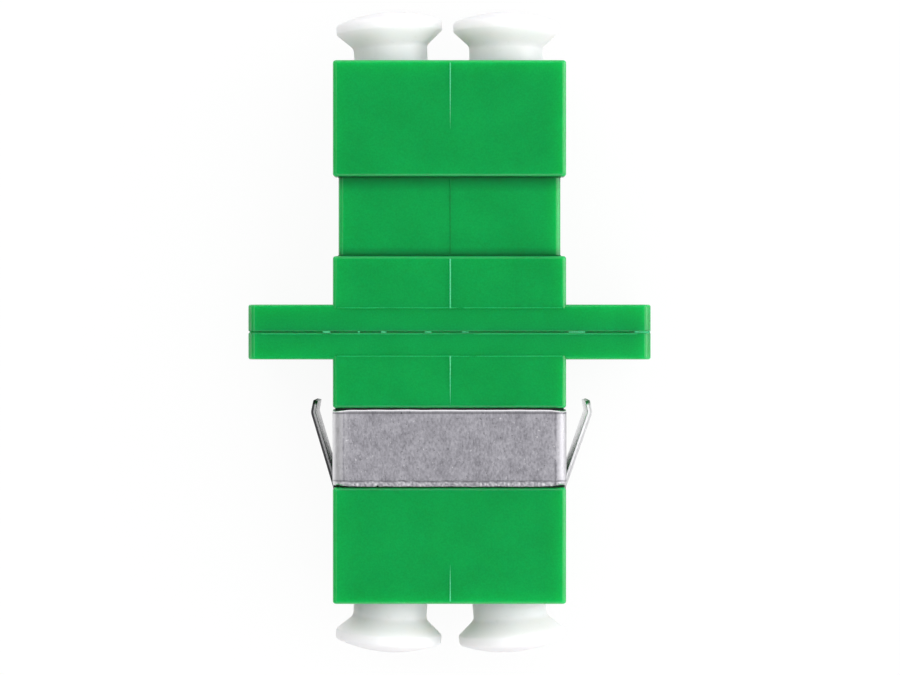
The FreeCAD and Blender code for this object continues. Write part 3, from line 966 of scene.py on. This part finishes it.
def is_sheet(along, down):
    """Whether the blank has metal there."""
    if on_foot(along, window_half) and down < window_end:
        return False
    return down < band_width or on_foot(along, foot_half)


half_stops = [0] + [front_half + row for row in BEND_ROWS] + [
    front_half + BEND * QUARTER, side_middle - foot_half, side_middle - window_half,
    side_middle + window_half, side_middle + foot_half, side_middle + side_run / 2,
    side_middle + side_run / 2 + BEND * QUARTER, band_half,
]
half_ladder = ladder(half_stops, CELL_ALONG)
columns = [-along for along in reversed(half_ladder[1:])] + half_ladder
down_stops = EDGE_ROWS + [band_width - row for row in reversed(EDGE_ROWS)] + [window_end, strip_width]
rows = ladder(down_stops, CELL_DOWN)
print("blank:", len(columns), "columns,", len(rows), "rows")

# %% [markdown]
# Sheared edges are never quite straight. They roll over on the side where the punch went in, dip at
# the folds where the sheet is stretched, and tear along the lower edge into a ragged, uneven band. A
# bump in the finish would leave the outline straight, so each point is moved as it is folded.

# %% Torn and sheared edges
DIP = 0.13 * MM
DIP_WIDTH = 0.45 * MM
WANDER = 0.02 * MM
WANDER_LENGTH = 0.9 * MM
JAGGED_SHARE = 0.6
JAGGED_LENGTH = 0.2 * MM
NICK_AT = -3.95 * MM
NICK_WIDTH = 0.07 * MM
NICK_DEPTH = 0.12 * MM
TORN_BAND = 0.20 * MM
TORN_SWAY = 0.04 * MM
TORN_LENGTH = 0.25 * MM
TORN_FADE = 0.03 * MM
TOP_SEED, LOW_SEED, JAGGED_SEED, TORN_SEED = 3.0, 7.0, 11.0, 17.0
corner_middle = front_half + BEND * QUARTER / 2


def wander(along, size, seed, level=0.5):
    """A slow waver between minus one and one along an edge."""
    return noise.noise(Vector((along / size, seed, level)))


def bell(offset, width):
    """One at the middle, falling away smoothly on both sides."""
    return math.exp(-((offset / width) ** 2))


def torn_waver(along):
    """How the border of the torn band rises and falls."""
    return wander(along, TORN_LENGTH, TORN_SEED)


def torn_share(along, from_bottom):
    """One inside the ragged band that tearing leaves along the lower edge, and zero above it."""
    ragged = TORN_BAND + TORN_SWAY * torn_waver(along)
    return min(1.0, max(0.0, (ragged - from_bottom) / TORN_FADE))


def edge_shift(along, top):
    """How far a sheared edge lies inside its straight line."""
    shift = WANDER * wander(along, WANDER_LENGTH, TOP_SEED if top else LOW_SEED)
    shift += DIP * bell(abs(along) - corner_middle, DIP_WIDTH)
    if not top:
        shift += JAGGED_SHARE * WANDER * wander(along, JAGGED_LENGTH, JAGGED_SEED)
        shift += NICK_DEPTH * bell(along - NICK_AT, NICK_WIDTH)
    return shift


print("lower edge at the nick:", round(edge_shift(NICK_AT, False) / MM, 3), "mm in")

# %% [markdown]
# Folding carries each point of the blank to the fold line, and adds what the press did to the sheet:
# the rolled edges, the rough relief of the torn band and a buckle of a few thousandths of a millimetre,
# without which the wide face would reflect the tent too evenly to be sheet.

# %% Folding the blank
ROLL_WIDTH = 0.17 * MM
TOP_ROLL = 0.02 * MM
LOW_ROLL = 0.05 * MM
TORN_RELIEF = 0.018 * MM
TORN_GRAIN = 0.09 * MM
BUCKLE = 0.006 * MM
BUCKLE_LENGTH = 1.8 * MM
BUCKLE_SEED, RELIEF_SEED = 20.0, 23.0


def folded(along, down):
    """Where a point of the blank lies on the finished clip."""
    from_bottom = (strip_width if on_foot(along, foot_half) else band_width) - down
    near_top = max(0.0, 1 - down / ROLL_WIDTH)
    near_bottom = max(0.0, 1 - abs(from_bottom) / ROLL_WIDTH)
    place, facing = band_place(along)
    inwards = TOP_ROLL * near_top ** 2 + LOW_ROLL * near_bottom ** 2
    inwards -= BUCKLE * wander(along, BUCKLE_LENGTH, BUCKLE_SEED + down / MM)
    relief = wander(along, TORN_GRAIN, RELIEF_SEED, down / TORN_GRAIN)
    inwards += TORN_RELIEF * torn_share(along, from_bottom) * relief
    place = place - facing * inwards
    place.y = clip_high.y - down - near_top * edge_shift(along, True)
    if not on_foot(along, foot_half):
        place.y += near_bottom * edge_shift(along, False)
    return place


print("the clip folds at", round(front_half / MM, 2), "mm from its middle")

# %% [markdown]
# A painted highlight runs along the burr of the upper edge, with painted shade just below it, and a
# painted reflection lies on each fold, the left one most. Dark lines run above the torn band and where
# each fold begins, and the torn band has light and dark specks. An image could hold these marks, but
# they follow the edges of the blank, so they are worked out there for every point of the sheet.

# %% Painted light and marks on the clip's edges and folds
BURR_HIGHLIGHT_WIDTH = 0.05 * MM
BURR_SHADE = 0.75
BURR_SHADE_DOWN = 0.15 * MM
DARK_LINE_WIDTH = 0.04 * MM
LOW_DARK_LINE = 0.6
LOW_DARK_LINE_SWAY = 0.4
LOW_DARK_LINE_LENGTH = 0.3 * MM
TORN_BRIGHT = 0.12
TORN_CONTRAST = 0.7
TORN_SPECK = 0.11 * MM
FOLD_DARK_LINE = 0.9
FOLD_DARK_LINE_WIDTH = 0.045 * MM
LEFT_FOLD_DARK_LINE = 0.25
RIGHT_FOLD_DARK_LINE = 0.35
DOT_LENGTH = 0.16 * MM
FOLD_REFLECTION_WIDTH = 0.5 * MM
LEFT_FOLD_REFLECTION = 0.9
RIGHT_FOLD_REFLECTION = 0.4
CREST_SHARE = 0.75
SPECK_SEED, DARK_LINE_SEED, DOT_SEED = 29.0, 37.0, 41.0
fold_crest = front_half + CREST_SHARE * BEND * QUARTER


def fold_dark_line(along, down):
    """How strong the dark line is where a fold begins: even on the left, broken into dots on the right.
    """
    if along > 0:
        return max(0.0, RIGHT_FOLD_DARK_LINE + wander(down, DOT_LENGTH, DOT_SEED))
    return LEFT_FOLD_DARK_LINE


def clip_wear_and_painted_light(along, down):
    """How far the sheet is lightened (above zero) or darkened (below zero) there, by wear and by painted
    light.
    """
    from_bottom = band_width - down
    # Painted highlight along the burr of the upper edge, and painted shade just below it.
    tone = bell(down, BURR_HIGHLIGHT_WIDTH) - BURR_SHADE * bell(down - BURR_SHADE_DOWN, DARK_LINE_WIDTH)
    specks = wander(along, TORN_SPECK, SPECK_SEED, down / TORN_SPECK)
    tone += torn_share(along, from_bottom) * (TORN_BRIGHT + TORN_CONTRAST * specks)
    above_torn = from_bottom - TORN_BAND - TORN_SWAY * (1 + torn_waver(along))
    low_dark_line = LOW_DARK_LINE + LOW_DARK_LINE_SWAY * wander(along, LOW_DARK_LINE_LENGTH, DARK_LINE_SEED)
    tone -= low_dark_line * bell(above_torn, DARK_LINE_WIDTH)
    # Painted reflection on each fold, stronger on the left one.
    fold_reflection = LEFT_FOLD_REFLECTION if along < 0 else RIGHT_FOLD_REFLECTION
    tone += fold_reflection * bell(abs(along) - fold_crest, FOLD_REFLECTION_WIDTH)
    tone -= FOLD_DARK_LINE * fold_dark_line(along, down) * bell(abs(along) - front_half, FOLD_DARK_LINE_WIDTH)
    return tone


print("tone at the clip's upper edge:", round(clip_wear_and_painted_light(0, 0), 2))

# %% [markdown]
# Through its thickness a cut edge has two zones: the punch burnishes the first half bright and the rest
# tears away dark. Solidify gives the sheet its thickness and marks the faces of the cut. Those faces
# are then divided once, and each half gets the finish of the side of the sheet that it lies on.

# %% Cut edges of a sheet
SKIN, TORN, BURNISHED = 0, 1, 2
ACROSS_BODY = Vector((1, 0, 1))


def split_cut_edges(mesh):
    """Divides each cut edge into a burnished half towards the body and a torn half outside."""
    work = bmesh.new()
    work.from_mesh(mesh)
    cut = {face for face in work.faces if face.material_index == TORN}
    through = [edge for edge in work.edges if all(face in cut for face in edge.link_faces)]
    bmesh.ops.subdivide_edges(work, edges=through, cuts=1, use_grid_fill=True)
    for face in work.faces:
        if face.material_index == SKIN:
            continue
        skins = [near for edge in face.edges for near in edge.link_faces if near.material_index == SKIN]
        outside = any(skin.normal.dot(skin.calc_center_median() * ACROSS_BODY) > 0 for skin in skins)
        face.material_index = TORN if outside else BURNISHED
    work.to_mesh(mesh)
    work.free()


print("zones of a sheet:", {"skin": SKIN, "torn": TORN, "burnished": BURNISHED})

# %% [markdown]
# The band and the tabs are made by one function: points become cells, cells become a sheet with a
# thickness, and a small bevel breaks its sharp edges as tumbling does. Extruding a section would be
# quicker, but a section has no windows, no torn band and no bent tongue.

# %% Sheet pieces
EDGE_SEGMENTS = 3
SHARP_TURN = math.radians(60)


def sheet_piece(name, skin, grid, tone, cells, replaced, edge_round):
    """Builds a sheet from rows of points, gives it its thickness and breaks its sharp edges."""
    work = bmesh.new()
    edge_tone = work.verts.layers.float.new("edge_tone")
    corners = {}

    def corner(row, column):
        if (row, column) not in corners:
            corners[row, column] = work.verts.new(grid(row, column))
            corners[row, column][edge_tone] = tone(row, column)
        return corners[row, column]

    for row, column in cells:
        ring = ((row, column), (row + 1, column), (row + 1, column + 1), (row, column + 1))
        face = work.faces.new([corner(*place) for place in ring])
        face.smooth = True
    mesh = bpy.data.meshes.new(name)
    work.to_mesh(mesh)
    work.free()
    item = new_piece(name, mesh, skin, torn_steel, burnished_steel)
    thick = item.modifiers.new("thickness", "SOLIDIFY")
    thick.thickness = SHEET
    thick.offset = 0
    thick.use_even_offset = True
    thick.material_offset_rim = TORN
    plain_mesh(item)
    split_cut_edges(item.data)
    soft = item.modifiers.new("broken edges", "BEVEL")
    soft.width = edge_round
    soft.segments = EDGE_SEGMENTS
    soft.limit_method = "ANGLE"
    soft.angle_limit = SHARP_TURN
    plain_mesh(item)
    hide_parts(replaced)
    return item


print("sheet thickness:", round(SHEET / MM, 2), "mm")

# %% [markdown]
# The clip is every cell of the blank that has metal, folded as above. It grips the body and doesn't
# move on it, so it rides on the body as a whole: only its tabs spring, and they are pieces of their own.

# %% The clip
CLIP_EDGE_ROUND = 0.045 * MM
clip_cells = [
    (row, column)
    for row in range(len(rows) - 1)
    for column in range(len(columns) - 1)
    if is_sheet((columns[column] + columns[column + 1]) / 2, (rows[row] + rows[row + 1]) / 2)
]
clip = sheet_piece(
    "panel_clip_sheet", sheet_steel,
    lambda row, column: folded(columns[column], rows[row]),
    lambda row, column: clip_wear_and_painted_light(columns[column], rows[row]),
    clip_cells, "panel_clip", CLIP_EDGE_ROUND,
)
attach(clip, "coupler")
print("clip faces:", len(clip.data.polygons))

# %% [markdown]
# The sheet is a little narrower than the groove it sits in. The two gaps that are left look black,
# because no light gets down there. A thin dark line of painted shade lies in each gap and round the
# corners of the body. It is one more path for the bead tree, with a finish of its own.

# %% Painted shade in the gaps beside the clip
GAP_SHADE_RADIUS = 0.06 * MM
GAP_SHADE_DEPTH = 0.16 * MM
GAP_SHADE_CORNER = 0.4 * MM
GAP_SHADE_REACH = 1.2 * MM
GAP_SHADE_CLUMP = 0.12
GAP_SHADE_RELIEF = 0.02
GAP_SHADE_TONES = ((0.003, 0.006, 0.005, 1), (0.022, 0.03, 0.028, 1))


def painted_gap_shade_finish(name):
    """Dark, matt painted shade, broken into small clumps."""
    finish = Finish(name)
    clumps = finish.grain(GAP_SHADE_CLUMP, 3.0)
    finish.shade(
        Base_Color=finish.mix(clumps, *GAP_SHADE_TONES),
        Roughness=finish.between(clumps, 0.75, 0.95),
        Normal=finish.bump(clumps, GAP_SHADE_RELIEF),
        Specular_IOR_Level=0.2,
    )
    return finish.material


def gap_path(y, face):
    """A line in a gap, across one wide face and a little way down both narrow sides."""
    wide = BODY_HALF - GAP_SHADE_DEPTH
    high = plain_face - GAP_SHADE_DEPTH
    half = [(wide - GAP_SHADE_CORNER, high), (wide, high - GAP_SHADE_CORNER), (wide, high - GAP_SHADE_REACH)]
    right = [(x, y, face * z) for x, z in half]
    left = [(-x, y, face * z) for x, z in reversed(half)]
    return left + right


upper_gap = (clip_high.y - GROOVE[0]) / 2
lower_gap = (clip_low.y + FOOT_DROP - GROOVE[1]) / 2
# Painted shade: a dark line in each gap beside the clip.
gap_shade = bead_piece(
    "gap_dust", [gap_path(y, face) for y in (upper_gap, lower_gap) for face in (-1, 1)],
    Radius=GAP_SHADE_RADIUS, Patch=0.6 * MM, Bare_below=EVERYWHERE,
    Start_share=FULL, End_share=FULL, Seed=21.0, Finish=painted_gap_shade_finish("dark_dust"),
)
print("dust lies at", round(upper_gap / MM, 2), "and", round(lower_gap / MM, 2), "mm")

# %% [markdown]
# Each tab is a tongue of the same sheet, cut free on three sides and bent outwards, with a short return
# at its tip. Drawn from the side it is one line with two bends, so it starts as such a line: four
# points, with the inner two rounded into arcs. The two tabs stand out by different amounts.

# %% The line of a tab
LEFT_RISE = 1.27 * MM
RIGHT_RISE = 1.50 * MM
TAB_RUN = 4.26 * MM
TIP_IN = 0.13 * MM
TIP_RUN = 0.65 * MM
TIP_BEND = 0.45 * MM
ROOT_BEND = 0.6 * MM
ROOT_LAP = 0.04 * MM
ARC_STEPS = 8
root_y = clip_low.y + FOOT_STRIP
hinges = {joint["name"]: joint.get("pos_m") for joint in frame["record"]["behaviour"]["joints"]}
hinge_y = hinges["left_tab_press"][1]


def rounded_line(points, radii):
    """A line through points in the XY plane with each inner corner turned into an arc."""
    line = [Vector(points[0])]
    for before, corner, after, radius in zip(points, points[1:], points[2:], radii):
        back = (Vector(before) - Vector(corner)).normalized()
        ahead = (Vector(after) - Vector(corner)).normalized()
        half_turn = (math.pi - back.angle(ahead)) / 2
        start = Vector(corner) + back * radius * math.tan(half_turn)
        centre = Vector(corner) + (back + ahead).normalized() * (radius / math.cos(half_turn))
        side = 1 if back.cross(ahead) < 0 else -1
        for number in range(ARC_STEPS + 1):
            swing = Matrix.Rotation(side * 2 * half_turn * number / ARC_STEPS, 2)
            line.append(centre + swing @ (start - centre))
    line.append(Vector(points[-1]))
    return line


def tab_line(rise):
    """The middle of the sheet from the foot to the tip, drawn for the right-hand tab."""
    root = (middle_x, root_y - ROOT_LAP)
    bend_in = (middle_x, hinge_y)
    bend_out = (middle_x + rise, hinge_y + TAB_RUN)
    tip = (bend_out[0] - TIP_IN, bend_out[1] + TIP_RUN)
    return rounded_line([root, bend_in, bend_out, tip], [ROOT_BEND, TIP_BEND])


print("tab line points:", len(tab_line(LEFT_RISE)))

# %% [markdown]
# When the coupler is pushed through a panel the tongue bends at its root. Here each tongue is built
# as one sheet in its resting shape, from its foot to its tip. A rigid tongue on a hinge would be
# simpler, but its root would tear away from the foot.

# %% Tab pieces
ACROSS = 24
TIP_ROUND = 0.35 * MM
TAB_STEP = 0.12 * MM
TAB_EDGE_ROUND = 0.025 * MM
TAB_WANDER = 0.012 * MM
TAB_WANDER_LENGTH = 0.5 * MM
TAB_SEED = 31.0
# Painted light on the tabs: the whole left tab is darkened as shade, the whole right tab lightened as a
# reflection.
LEFT_TAB_PAINTED_SHADE = -0.65
RIGHT_TAB_PAINTED_REFLECTION = 0.6


def tab_piece(name, side, rise, node):
    """One tab, on the left (-1) or the right (1)."""
    line = []
    corners = tab_line(rise)
    for low, high in zip(corners, corners[1:]):
        count = max(1, math.ceil((high - low).length / TAB_STEP))
        line += [low.lerp(high, number / count) for number in range(count)]
    line.append(corners[-1])

    def point(row, column):
        place = line[row]
        left = (line[-1] - place).length
        cut = max(0.0, TIP_ROUND - left)
        half = TAB_WIDTH / 2 - TIP_ROUND + math.sqrt(TIP_ROUND ** 2 - cut ** 2)
        across = 2 * column / ACROSS - 1
        edge = TAB_WANDER * wander(place.y, TAB_WANDER_LENGTH, TAB_SEED + side * across)
        return Vector((side * place.x, place.y, across * half + edge))

    def tab_painted_light(row, column):
        return LEFT_TAB_PAINTED_SHADE if side < 0 else RIGHT_TAB_PAINTED_REFLECTION

    cells = [(row, column) for row in range(len(line) - 1) for column in range(ACROSS)]
    item = sheet_piece(name, tongue_steel, point, tab_painted_light, cells, node, TAB_EDGE_ROUND)
    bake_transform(item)
    return item


tabs = [
    tab_piece("left_tab_sheet", -1, LEFT_RISE, "left_clip_tab"),
    tab_piece("right_tab_sheet", 1, RIGHT_RISE, "right_clip_tab"),
]
print("tab faces:", [len(item.data.polygons) for item in tabs])

# %% [markdown]
# The dressed part keeps the size of the solids: the looks add marks a few hundredths of a millimetre
# high and nothing more.
